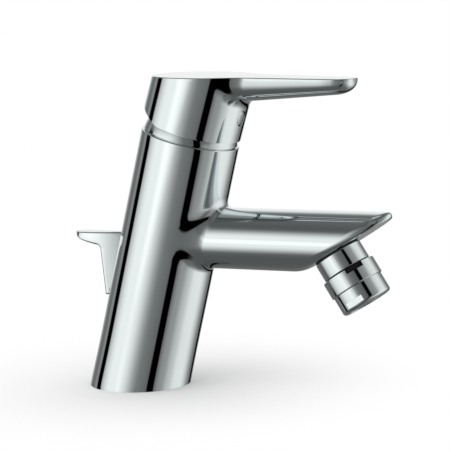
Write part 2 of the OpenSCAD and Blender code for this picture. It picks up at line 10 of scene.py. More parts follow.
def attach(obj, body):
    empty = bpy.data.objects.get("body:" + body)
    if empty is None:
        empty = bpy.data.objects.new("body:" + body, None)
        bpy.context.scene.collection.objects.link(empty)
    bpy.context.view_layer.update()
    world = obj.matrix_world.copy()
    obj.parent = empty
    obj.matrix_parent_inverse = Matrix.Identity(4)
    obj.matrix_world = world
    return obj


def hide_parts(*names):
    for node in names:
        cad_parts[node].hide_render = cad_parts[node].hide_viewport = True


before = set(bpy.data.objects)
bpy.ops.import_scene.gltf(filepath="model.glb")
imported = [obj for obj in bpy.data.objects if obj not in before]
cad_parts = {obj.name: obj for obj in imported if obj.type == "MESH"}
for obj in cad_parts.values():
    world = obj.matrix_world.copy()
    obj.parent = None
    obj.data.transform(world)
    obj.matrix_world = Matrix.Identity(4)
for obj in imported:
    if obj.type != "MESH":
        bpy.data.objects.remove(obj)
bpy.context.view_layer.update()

bl_info = {
    "name": "Bidet mixer",
    "version": (1, 0, 0),
    "blender": (4, 5, 0),
    "location": "3D View > Sidebar > Mixer",
    "description": "Polished visual pieces and a pale stage for a single-lever bidet mixer",
    "category": "Add Mesh",
}

MM = 0.001
ROUND = 2 * math.pi


def linear(code):
    """Linear colour of an sRGB hex value."""
    parts = [int(code[i:i + 2], 16) / 255 for i in (1, 3, 5)]
    return tuple(c / 12.92 if c <= 0.04045 else ((c + 0.055) / 1.055) ** 2.4 for c in parts)


def length(name, text, mm):
    """A size of the mixer, given in millimetres."""
    return bpy.props.FloatProperty(
        name=name, description=text, default=mm * MM, subtype="DISTANCE", unit="LENGTH", precision=5)


def angle(name, text, degrees):
    """An angle of the mixer, given in degrees."""
    return bpy.props.FloatProperty(
        name=name, description=text, default=math.radians(degrees), subtype="ANGLE", unit="ROTATION")


def number(name, text, value):
    """A plain number that shapes the mixer."""
    return bpy.props.FloatProperty(name=name, description=text, default=value)


def colour(name, text, code):
    """A colour of a finish, given as an sRGB hex value."""
    return bpy.props.FloatVectorProperty(
        name=name, description=text, default=linear(code), subtype="COLOR", size=3, min=0, max=1)


class MixerBodySizes(bpy.types.PropertyGroup):
    """Sizes of the leaning body and its spout"""
    lean: angle("Lean", "Lean of the body towards the spout", 15)
    radius: length("Radius", "Radius of the body", 23)
    height: length("Length", "Length of the body on its axis", 122)
    flare: length("Foot flare", "Growth of the radius at the foot", 0.4)
    foot_h: length("Foot length", "Length over which the foot grows", 30)
    rim: length("Rim rounding", "Rounding of the body's top edge", 0.6)
    spout_z: length("Spout height", "Height of the spout's axis", 71)
    spout_r: length("Spout radius", "Radius of the spout", 14.15)
    mouth_x: length("Mouth reach", "Where the mouth plane cuts the spout's axis", 111)
    mouth_tilt: angle("Mouth slant", "Slant of the mouth plane from the horizontal", 32.5)
    blend_top: length("Upper blend", "Blend radius above the spout's root", 4.5)
    blend_low: length("Lower blend", "Blend radius below the spout's root", 2.5)
    blend_side: length("Side blend", "Blend radius at the sides of the spout's root", 6.2)
    lip_tilt: angle("Lip slant", "Slant of the mouth's lip from the horizontal", 31)
    edge_tip: length("Tip rounding", "Rounding length of the mouth's edge at its tip", 6.2)
    edge_heel: length("Heel rounding", "Rounding length of the mouth's edge at its heel", 5)
    edge_side: length("Side rounding", "Rounding length of the mouth's edge at its sides", 2.1)
    edge_spread: number("Side spread", "Times that the side rounding is longer along the spout", 2.8)
    rod_back: length("Rod place", "Distance of the pull rod behind the base centre", 12.8)


class MixerLeverSizes(bpy.types.PropertyGroup):
    """Sizes of the lever's cap and handle"""
    pivot_z: length("Pivot height", "Height of the lift pivot on the body's axis", 119.5)
    cap_r: length("Cap radius", "Radius of the cap", 23.5)
    cap_tilt: angle("Cap tilt", "Forward tilt of the closed cap against the body's axis", 2.8)
    cap_back: length("Cap offset", "Offset of the cap's axis behind the lift pivot", 0.9)
    cap_low: length("Cap lower edge", "Height of the cap's lower edge above the pivot", 7)
    cap_high: length("Cap top", "Height of the cap's top above the pivot", 32.4)
    top_slope: angle("Top slope", "Downward slope of the flat top", 1.5)
    rear_cut: angle("Rear cut", "Slant of the cut under the cap's rear edge", 20.4)
    rear_start: length("Rear cut start", "Where the rear cut starts behind the pivot", 8)
    handle_len: length("Handle length", "Length of the handle from the cap's axis", 74.9)
    root_half: length("Root half width", "Half width of the handle at its root", 12.4)
    tip_half: length("Tip half width", "Half width of the handle near its tip", 9.4)
    root_thick: length("Root thickness", "Thickness of the handle at its root", 11.3)
    tip_thick: length("Tip thickness", "Thickness of the handle near its tip", 7.5)
    nose_len: length("Nose length", "Length over which the handle's tip rounds off in plan", 14)
    plug_h: length("Plug height", "Height of the index plug above the lift pivot", 18.7)
    side_blend: length("Side blend", "Blend radius at the sides of the handle's root", 6)
    under_blend: length("Lower blend", "Blend radius under the handle's root", 4)
    power: number("Section power", "Power of the handle's rounded cross-section", 2.7)
    tip_power: number("Tip power", "Power of the cross-section at the handle's tip", 2)
    edge: length("Top edge", "Rounding of the flat top's edge", 0.5)


class MixerPullSizes(bpy.types.PropertyGroup):
    """Sizes of the pop-up pull's knob"""
    top: length("Top", "Height of the knob's top", 72.5)
    foot: length("Foot", "Height of the knob's lower end", 42.3)
    back: length("Reach", "Reach of the finger lip behind the base centre", 31.4)
    lip_h: length("Lip height", "Height of the finger lip at the stem", 6.2)
    half: length("Half width", "Half width of the knob", 4.5)
    gap: length("Gap", "Gap between knob and body", 0.7)
    crook: length("Crook", "Radius between lip and stem", 2.2)
    edge: length("Edge rounding", "Rounding of the knob's upper edges", 0.8)
    crown: length("Crown", "Depth across the top over which its edges round off", 3.4)
    stem_edge: length("Stem rounding", "Rounding of the stem's edges", 1.6)
    bow: length("Bow", "Loss of half width along the bowed sides", 1.5)


class MixerNozzleSizes(bpy.types.PropertyGroup):
    """Sizes of the swivel nozzle"""
    drop: length("Nozzle drop", "Distance of the nozzle's axis below the spout's axis", 8.5)
    washer_gap: length("Washer height", "Height of the washer that shows above the barrel", 1.2)
    barrel_r: length("Barrel radius", "Radius of the connector's barrel", 11.4)
    cup_r: length("Cup radius", "Radius of the cup", 12.8)
    cup_top: length("Cup place", "Distance of the cup's upper edge from the mouth plane", 9.7)
    cup_h: length("Cup height", "Height of the cup", 8)
    aerator_r: length("Aerator radius", "Radius of the aerator's housing", 12.1)
    aerator_h: length("Aerator height", "Height of the aerator's housing", 9.2)
    edge: length("Ring edges", "Rounding of the rings' edges", 0.35)


class MixerFinishes(bpy.types.PropertyGroup):
    """Colours of the mixer's materials"""
    chrome: colour("Chrome", "Polished chrome plate", "#e6eded")
    brass: colour("Brass", "Bare turned brass", "#b08d4a")
    # Painted shade: the nearly black colour of the connector's nose, which the cup's notch shows as a
    # shadowed gap
    grease: colour("Grease film", "Dark grease on the nozzle's hidden nose", "#0c0c0d")
    steel: colour("Steel", "Turned stainless steel", "#b5b8ba")
    black_steel: colour("Black steel", "Blackened steel of the set screw", "#4a4c4e")
    white: colour("White acetal", "Moulded white acetal", "#e4e3dc")
    blue: colour("Blue acetal", "Moulded blue acetal", "#41688f")
    grey: colour("Grey acetal", "Moulded grey acetal", "#8f9496")
    ceramic: colour("Ceramic", "Lapped alumina", "#efe9dc")
    rubber: colour("Rubber", "Moulded black rubber", "#1c1c1d")


class MixerStage(bpy.types.PropertyGroup):
    """Camera and floor"""
    azimuth: angle("Azimuth", "Camera's turn round the mixer", 26.795)
    elevation: angle("Elevation", "Camera's height angle", 7.497)
    roll: angle("Roll", "Camera's roll", -1.957)
    distance: length("Distance", "Camera's distance from its target", 922.159)
    target_x: length("Target X", "Camera's target, forwards", 47.82)
    target_z: length("Target Z", "Camera's target, upwards", 77.091)
    lens: bpy.props.FloatProperty(
        name="Lens", description="Focal length", default=159.63, subtype="DISTANCE_CAMERA", unit="CAMERA")
    floor: colour("Floor", "Colour of the pale floor", "#fcfcfc")


# Materials

def add(tree, kind, links=None, **settings):
    """Adds a node, sets its settings, and feeds its inputs from sockets or plain values."""
    node = tree.nodes.new(kind)
    for name, value in settings.items():
        setattr(node, name, value)
    for name, value in (links or {}).items():
        if isinstance(value, bpy.types.NodeSocket):
            tree.links.new(value, node.inputs[name])
        else:
            node.inputs[name].default_value = value
    return node


def empty_tree(owner):
    """The node tree of a material or world, with nothing in it."""
    owner.use_nodes = True
    owner.node_tree.nodes.clear()
    return owner.node_tree


def calc(tree, operation, *values):
    """Result of a math node that is fed with sockets or plain values."""
    return add(tree, "ShaderNodeMath", dict(enumerate(values)), operation=operation).outputs[0]


def mix(tree, share, one, two):
    """A mix of two shader nodes."""
    return add(tree, "ShaderNodeMixShader", {0: share, 1: one.outputs[0], 2: two.outputs[0]})


# Most values of a noise texture lie between these
NOISE_LOW, NOISE_HIGH = 0.3, 0.7


def shader(name, tint, spread, patch_mm, rough, grain_mm, depth_mm, metallic=0.0, stretch=(1, 1, 1)):
    """A surface with drifting tint, uneven gloss and a fine grain, at sizes given in millimetres."""
    mat = bpy.data.materials.new(name)
    tree = empty_tree(mat)
    place = add(tree, "ShaderNodeTexCoord").outputs["Object"]
    drift = add(tree, "ShaderNodeTexNoise", {"Vector": place, "Scale": 1 / (patch_mm * MM), "Detail": 3.0})
    along = add(tree, "ShaderNodeMapping", {"Vector": place, "Scale": stretch})
    grain = add(tree, "ShaderNodeTexNoise", {
        "Vector": along.outputs["Vector"], "Scale": 1 / (grain_mm * MM), "Detail": 2.0})
    dark = tuple(c * (1 - spread) for c in tint) + (1,)
    full = tuple(tint) + (1,)
    tone = add(tree, "ShaderNodeMix", {0: drift.outputs["Fac"], 6: dark, 7: full}, data_type="RGBA")
    gloss = add(tree, "ShaderNodeMapRange", {
        "Value": grain.outputs["Fac"], "From Min": NOISE_LOW, "From Max": NOISE_HIGH,
        "To Min": rough[0], "To Max": rough[1]})
    bump = add(tree, "ShaderNodeBump", {
        "Height": grain.outputs["Fac"], "Distance": depth_mm * MM, "Strength": 1.0})
    surface = add(tree, "ShaderNodeBsdfPrincipled", {
        "Base Color": tone.outputs[2], "Roughness": gloss.outputs["Result"],
        "Normal": bump.outputs["Normal"], "Metallic": metallic})
    add(tree, "ShaderNodeOutputMaterial", {"Surface": surface.outputs["BSDF"]})
    return mat


FINISHES = {}


def make_finishes(c):
    """Builds every finish once."""
    # Bright chrome plate over buffed cast brass: a cool mirror with a very slight buffed unevenness
    FINISHES["chrome_plate"] = shader(
        "bright_chrome_plate_buffed", c.chrome, 0.03, 18, (0.02, 0.035), 9, 0.0015, 1.0)
    # Bare turned brass: warm metal with fine tool rings, drawn coarser than real ones to show
    FINISHES["turned_brass"] = shader(
        "brass_turned", c.brass, 0.12, 5, (0.24, 0.38), 0.5, 0.01, 1.0, stretch=(0.15, 0.15, 1))
    # Painted shade on the connector's brass nose: dull and nearly black, so that the cup's notch shows black
    # like a shadowed gap
    FINISHES["greased_brass"] = shader("brass_painted_shade", c.grease, 0.2, 2, (0.5, 0.65), 0.4, 0.005)
    # Turned stainless steel: grey metal with soft lines across its length
    FINISHES["pressed_steel"] = shader(
        "stainless_steel_turned", c.steel, 0.08, 4, (0.22, 0.34), 0.4, 0.006, 1.0, stretch=(0.2, 0.2, 1))
    # Blackened steel: dark, dull metal
    FINISHES["dark_steel"] = shader("steel_blackened", c.black_steel, 0.2, 1.5, (0.4, 0.55), 0.3, 0.01, 1.0)
    # Moulded acetal: waxy plastic with a fine spark-eroded grain
    FINISHES["white_acetal"] = shader("white_acetal_moulded", c.white, 0.05, 5, (0.34, 0.46), 0.35, 0.008)
    FINISHES["blue_acetal"] = shader("blue_acetal_moulded", c.blue, 0.08, 5, (0.34, 0.46), 0.35, 0.008)
    FINISHES["grey_acetal"] = shader("grey_acetal_moulded", c.grey, 0.08, 5, (0.36, 0.48), 0.35, 0.008)
    # Lapped alumina: dense, pale and smooth, with a faint crystal mottle
    FINISHES["sintered_ceramic"] = shader("alumina_lapped", c.ceramic, 0.05, 1.2, (0.1, 0.18), 0.2, 0.001)
    # Moulded rubber: dull black with a fine bloom
    FINISHES["black_rubber"] = shader("rubber_moulded", c.rubber, 0.25, 2, (0.62, 0.8), 0.25, 0.01)


class MixerMakeFinishes(bpy.types.Operator):
    """Build the mixer's finishes"""
    bl_idname = "mixer.make_finishes"
    bl_label = "Finishes"

    def execute(self, context):
        make_finishes(context.scene.mixer_finishes)
        return {"FINISHED"}


# Meshes

class Skin:
    """Points and faces of one closed piece, collected ring by ring."""

    def __init__(self):
        self.points = []
        self.faces = []

    def ring(self, points):
        start = len(self.points)
        self.points.extend(Vector(p) for p in points)
        return list(range(start, len(self.points)))

    def strip(self, one, two, closed=True):
        count = len(one)
        for i in range(count if closed else count - 1):
            j = (i + 1) % count
            self.faces.append((one[i], one[j], two[j], two[i]))

    def fan(self, ring, tip):
        for i in range(len(ring)):
            self.faces.append((ring[i], ring[(i + 1) % len(ring)], tip))

    def lay(self, matrix):
        self.points = [matrix @ p for p in self.points]
        return self

    def mesh(self, name):
        out = bpy.data.meshes.new(name)
        out.from_pydata([tuple(p) for p in self.points], [], self.faces)
        work = bmesh.new()
        work.from_mesh(out)
        bmesh.ops.remove_doubles(work, verts=work.verts, dist=1e-7)
        bmesh.ops.recalc_face_normals(work, faces=work.faces)
        work.to_mesh(out)
        work.free()
        return out


def inside(points, loops):
    """True for each flat point that an odd number of loop edges lies beside."""
    odd = np.zeros(len(points), bool)
    for loop in loops:
        one = np.array(loop)
        two = np.roll(one, -1, axis=0)
        for a, b in zip(one, two):
            cross = (a[1] > points[:, 1]) != (b[1] > points[:, 1])
            if a[1] != b[1]:
                reach = a[0] + (points[:, 1] - a[1]) * (b[0] - a[0]) / (b[1] - a[1])
                odd ^= cross & (points[:, 0] < reach)
    return odd


def patch(skin, loops, grid, place, margin):
    """Fills a curved wall between border loops of (flat place, point number), over a grid of flat places."""
    flat = [np.array([at for at, number in loop]) for loop in loops]
    border = np.concatenate(flat)
    free = np.array(grid)
    free = free[inside(free, flat)]
    near = np.array([np.hypot(*(border - p).T).min() for p in free])
    free = free[near > margin]
    numbers = [number for loop in loops for at, number in loop] + skin.ring(place(*p) for p in free)
    spots = np.concatenate([border, free])
    edges, start = [], 0
    for loop in loops:
        edges += [(start + i, start + (i + 1) % len(loop)) for i in range(len(loop))]
        start += len(loop)
    found = delaunay_2d_cdt([Vector(p / MM) for p in spots], edges, [], 0, 1e-6)
    middles = np.array([np.mean([found[0][i] for i in f], axis=0) for f in found[2]]) * MM
    for f, keep in zip(found[2], inside(middles, flat)):
        if keep:
            skin.faces.append(tuple(numbers[found[3][i][0]] for i in f))


def lathe(profile, count, loop=True):
    """Turns a profile of (radius, height) round the Z axis; an open profile starts and ends on the axis."""
    skin = Skin()
    rings = []
    for r, z in profile:
        if r < 1e-9:
            rings.append(skin.ring([(0, 0, z)]))
        else:
            rings.append(skin.ring(
                (r * math.cos(ROUND * i / count), r * math.sin(ROUND * i / count), z) for i in range(count)))
    pairs = list(zip(rings, rings[1:])) + ([(rings[-1], rings[0])] if loop else [])
    for one, two in pairs:
        if len(one) == 1:
            skin.fan(two, one[0])
        elif len(two) == 1:
            skin.fan(one, two[0])
        else:
            skin.strip(one, two)
    return skin


def turned(profile, count=128, loop=True):
    """Turns a profile of (radius, height) in millimetres round the Z axis."""
    return lathe([(r * MM, z * MM) for r, z in profile], count, loop)


def rounded(corner, along, inward, reach, steps):
    """Points of an arc that rounds a corner between two directions leaving it."""
    spread = along.angle(inward)
    hub = corner + (along + inward).normalized() * reach / math.cos(spread / 2)
    start, end = corner + along * reach - hub, corner + inward * reach - hub
    sweep = math.pi - spread
    points = []
    for k in range(steps + 1):
        share = start * math.sin((1 - k / steps) * sweep) + end * math.sin(k / steps * sweep)
        points.append(hub + share / math.sin(sweep))
    return points


def soft_profile(corners, steps=4):
    """A closed profile of (radius, height, rounding) with its corners rounded."""
    out = []
    for i, (r, z, reach) in enumerate(corners):
        here = Vector((r, z, 0))
        if reach <= 0:
            out.append((r, z))
            continue
        before = Vector((*corners[i - 1][:2], 0))
        after = Vector((*corners[(i + 1) % len(corners)][:2], 0))
        back, on = (before - here).normalized(), (after - here).normalized()
        out += [p[:2] for p in rounded(here, back, on, reach, steps)]
    return out


def arc(hub, radius, z_from, z_to, steps):
    """Profile points on a sphere about a height on the axis, without rounding."""
    one, two = math.asin((z_from - hub) / radius), math.asin((z_to - hub) / radius)
    turns = [one + (two - one) * k / steps for k in range(steps + 1)]
    return [(radius * math.cos(t), hub + radius * math.sin(t), 0) for t in turns]


def rod(r, low, high, count=96):
    """A closed round bar on the Z axis."""
    return lathe([(0, low), (r, low), (r, high), (0, high)], count, loop=False)


def block(low, high):
    """A closed box."""
    skin = Skin()
    (x0, y0, z0), (x1, y1, z1) = low, high
    rings = [skin.ring([(x0, y0, z), (x1, y0, z), (x1, y1, z), (x0, y1, z)]) for z in (z0, z1)]
    skin.strip(*rings)
    skin.faces += [tuple(rings[0]), tuple(rings[1])]
    return skin


def put(name, data):
    """A new object in the scene."""
    thing = bpy.data.objects.new(name, data)
    bpy.context.scene.collection.objects.link(thing)
    return thing


# A cut that leaves fewer faces than this has failed
FEWEST_FACES = 10


def carve(name, skin, cutters):
    """The mesh of a closed skin with each closed cutter taken away from it."""
    work = put(name, skin.mesh(name))
    tools = []
    for i, cutter in enumerate(cutters):
        mesh = cutter if isinstance(cutter, bpy.types.Mesh) else cutter.mesh(f"{name}_cutter_{i}")
        tool = put(mesh.name, mesh)
        tools.append(tool)
        cut = work.modifiers.new("cut", "BOOLEAN")
        cut.operation = "DIFFERENCE"
        cut.solver = "EXACT"
        cut.object = tool
    seen = work.evaluated_get(bpy.context.evaluated_depsgraph_get())
    mesh = bpy.data.meshes.new_from_object(seen)
    for obj in tools + [work]:
        bpy.data.objects.remove(obj)
    if len(mesh.polygons) < FEWEST_FACES:
        raise RuntimeError(f"{name}: the cut left nothing")
    mesh.name = name
    return mesh


def stand(name, mesh, body, node, sharp=38):
    """Sets a mesh up as a chromed piece that moves with its body and stands for its node."""
    mesh.materials.clear()
    mesh.materials.append(FINISHES["chrome_plate"])
    mesh.shade_smooth()
    mesh.set_sharp_from_angle(angle=math.radians(sharp))
    piece = put(name, mesh)
    even = piece.modifiers.new("even_shading", "WEIGHTED_NORMAL")
    even.keep_sharp = True
    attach(piece, body)
    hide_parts(node)


# Frames

def on_body(sizes):
    return Matrix.Rotation(sizes.lean, 4, "Y")


def on_pivot(body, lever):
    return on_body(body) @ Matrix.Translation((0, 0, lever.pivot_z)) @ Matrix.Rotation(lever.cap_tilt, 4, "Y")


def on_nozzle(body, nozzle):
    x = body.mouth_x - nozzle.drop * math.cos(body.mouth_tilt)
    z = body.spout_z - nozzle.drop * math.sin(body.mouth_tilt)
    return Matrix.Translation((x, 0, z)) @ Matrix.Rotation(math.pi - body.mouth_tilt, 4, "Y")


ALONG_X = Matrix.Rotation(math.pi / 2, 4, "Y")


# Body and spout

def body_skin(s, drop):
    """Outer skin: the leaning wall with a hole for the spout, the spout's blend, barrel and mouth."""
    skin = Skin()
    frame_of = on_body(s)
    tan, cos, sin = math.tan(s.lean), math.cos(s.lean), math.sin(s.lean)
    around, lip_steps, rim_steps = 144, 12, 5
    row_gap, row_margin, grid_margin = 3.0 * MM, 1.5 * MM, 0.8 * MM

    def wall_r(h):
        return s.radius + s.flare * min(1, max(0, (s.foot_h - h) / s.foot_h)) ** 2

    def wall(u, h):
        t = u / s.radius
        return frame_of @ Vector((wall_r(h) * math.cos(t), wall_r(h) * math.sin(t), h))

    def base_h(t):
        h = 0
        for i in range(4):
            h = wall_r(h) * math.cos(t) * tan
        return h

    def front(y, z):
        return (math.sqrt(s.radius ** 2 - y * y) + z * sin) / cos

    def blend_of(a):
        middle, swing = (s.blend_top + s.blend_low) / 2, (s.blend_top - s.blend_low) / 2
        return middle + swing * math.cos(a) + (s.blend_side - middle) * math.sin(a) ** 2

    def blend_point(a, turn):
        b = blend_of(a)
        r = s.spout_r + b * (1 - math.sin(turn))
        y, z = r * math.sin(a), s.spout_z + r * math.cos(a)
        return Vector((front(y, z) + b * (1 - math.cos(turn)), y, z))

    # The lip's plane crosses the nozzle's seat in its middle, at a slightly flatter slant
    face = Vector((math.sin(s.lip_tilt), 0, -math.cos(s.lip_tilt)))
    lip_x = s.mouth_x + drop * (math.sin(s.mouth_tilt) / math.tan(s.lip_tilt) - math.cos(s.mouth_tilt))

    def mouth(a):
        lead = math.cos(a) / math.tan(s.lip_tilt)
        corner = Vector((
            lip_x + s.spout_r * lead, s.spout_r * math.sin(a), s.spout_z + s.spout_r * math.cos(a)))
        inward = (Vector((lip_x, 0, s.spout_z)) - corner).normalized()
        end = s.edge_tip if math.cos(a) > 0 else s.edge_heel
        reach = s.edge_side + (end - s.edge_side) * math.cos(a) ** 2
        lip = rounded(corner, Vector((-1, 0, 0)), inward, reach, lip_steps)
        # At its sides the wall starts to turn in earlier than the rounding is long on the face
        early = (s.edge_spread - 1) * abs(math.sin(a)) ** 1.5 / face.x
        return [p - Vector((early * (corner - p).dot(face), 0, 0)) for p in lip]

    angles = [ROUND * i / around for i in range(around)]
    rings = [skin.ring(blend_point(a, math.radians(turn)) for a in angles) for turn in np.linspace(0, 90, 16)]
    lips = [mouth(a) for a in angles]
    rings += [skin.ring(lip[k] for lip in lips) for k in range(lip_steps + 1)]
    for one, two in zip(rings, rings[1:]):
        skin.strip(one, two)
    skin.faces.append(tuple(rings[-1]))

    turns = [math.radians(t) for t in range(-180, 181, 2)]
    high = s.height - s.rim
    foot = skin.ring(wall(s.radius * t, base_h(t)) for t in turns)
    top = skin.ring(wall(s.radius * t, high) for t in turns)
    rows = np.arange(-2, 40) * row_gap
    side = [h for h in rows if base_h(math.pi) + row_margin < h < high - row_margin]
    seams = [skin.ring(wall(s.radius * t, h) for h in side) for t in (math.pi, -math.pi)]
    edge = s.radius * math.pi
    outline = [((s.radius * t, base_h(t)), n) for t, n in zip(turns, foot)]
    outline += [((edge, h), n) for h, n in zip(side, seams[0])]
    outline += [((s.radius * t, high), n) for t, n in zip(reversed(turns), reversed(top))]
    outline += [((-edge, h), n) for h, n in zip(reversed(side), reversed(seams[1]))]
    hole = []
    for n in rings[0]:
        p = frame_of.inverted() @ skin.points[n]
        hole.append(((s.radius * math.atan2(p.y, p.x), p.z), n))
    grid = [(s.radius * t, h) for t in turns[1:-1] for h in rows]
    patch(skin, [outline, hole], grid, wall, grid_margin)

    last = top[:-1]
    for k in range(1, rim_steps + 1):
        turn = math.pi / 2 * k / rim_steps
        r, h = s.radius - s.rim * (1 - math.cos(turn)), high + s.rim * math.sin(turn)
        step = skin.ring(frame_of @ Vector((r * math.cos(t), r * math.sin(t), h)) for t in turns[:-1])
        skin.strip(last, step)
        last = step
    skin.faces.append(tuple(last))
    skin.faces.append(tuple(foot[:-1]))
    return skin


def body_cutters(s, nozzle):
    """Closed tools for the hollow foot, the bores, the cartridge bay and the nozzle's seat."""
    lean, far, under = on_body(s), 0.2, -1 * MM
    at_rod = Matrix.Translation((-s.rod_back, 0, 0))
    hollow_r, hollow_low, hollow_high = 19 * MM, -12 * MM, 40 * MM
    # The stud's and the rod guide's posts, with a rib between them, stand in the hollow
    post_r, post_low, guide_r, guide_low, rib_half = 5.5 * MM, -20 * MM, 6 * MM, 8 * MM, 3 * MM
    hollow = carve("foot_hollow", rod(hollow_r, hollow_low, hollow_high).lay(lean), [
        rod(post_r, post_low, far),
        rod(guide_r, guide_low, far).lay(at_rod),
        block((-s.rod_back, -rib_half, guide_low), (0, rib_half, far)),
    ])
    # Profiles of (radius, height) in millimetres
    inlet = [(0, 39), (4.45, 39), (4.45, 52), (3, 52), (3, 89), (0, 89)]
    bay = [(0, 88), (17.6, 88), (17.6, 108), (19.5, 108), (19.5, 118), (21, 118), (21, 140), (0, 140)]
    seat = [(0, -9), (10, -9), (10, -1), (11, -1), (11, 30), (0, 30)]
    groove = [(20.6, -1), (22.2, -1), (22.2, 1.6), (20.6, 1.6)]

    inlet_x, inlet_y = -2 * MM, 9.6 * MM
    riser_r, riser_x, riser_high = 3.6 * MM, 9 * MM, 89 * MM
    way_r, way_lead = 6 * MM, 4 * MM
    stud_r, stud_high, pull_r = 3.4 * MM, 20 * MM, 3.6 * MM

    cutters = [hollow, turned(bay, 96, False).lay(lean)]
    cutters += [turned(seat, 96, False).lay(on_nozzle(s, nozzle)), turned(groove, 96)]
    for side in (-1, 1):
        at_inlet = Matrix.Translation((inlet_x, side * inlet_y, 0))
        cutters.append(turned(inlet, 96, False).lay(lean @ at_inlet))
    cutters.append(rod(riser_r, s.spout_z, riser_high).lay(lean @ Matrix.Translation((riser_x, 0, 0))))
    start = s.spout_z * math.tan(s.lean) + way_lead
    end = s.mouth_x - nozzle.drop * math.cos(s.mouth_tilt)
    cutters.append(rod(way_r, start, end).lay(Matrix.Translation((0, 0, s.spout_z)) @ ALONG_X))
    cutters.append(rod(stud_r, under, stud_high))
    cutters.append(rod(pull_r, under, far).lay(at_rod))
    return cutters


class MixerMakeBody(bpy.types.Operator):
    """Build the leaning body with its blended spout"""
    bl_idname = "mixer.make_body"
    bl_label = "Body and spout"

    def execute(self, context):
        s, nozzle = context.scene.mixer_body, context.scene.mixer_nozzle
        mesh = carve("body_shell", body_skin(s, nozzle.drop), body_cutters(s, nozzle))
        stand("body_shell", mesh, "fixed", "body")
        return {"FINISHED"}


# Lever

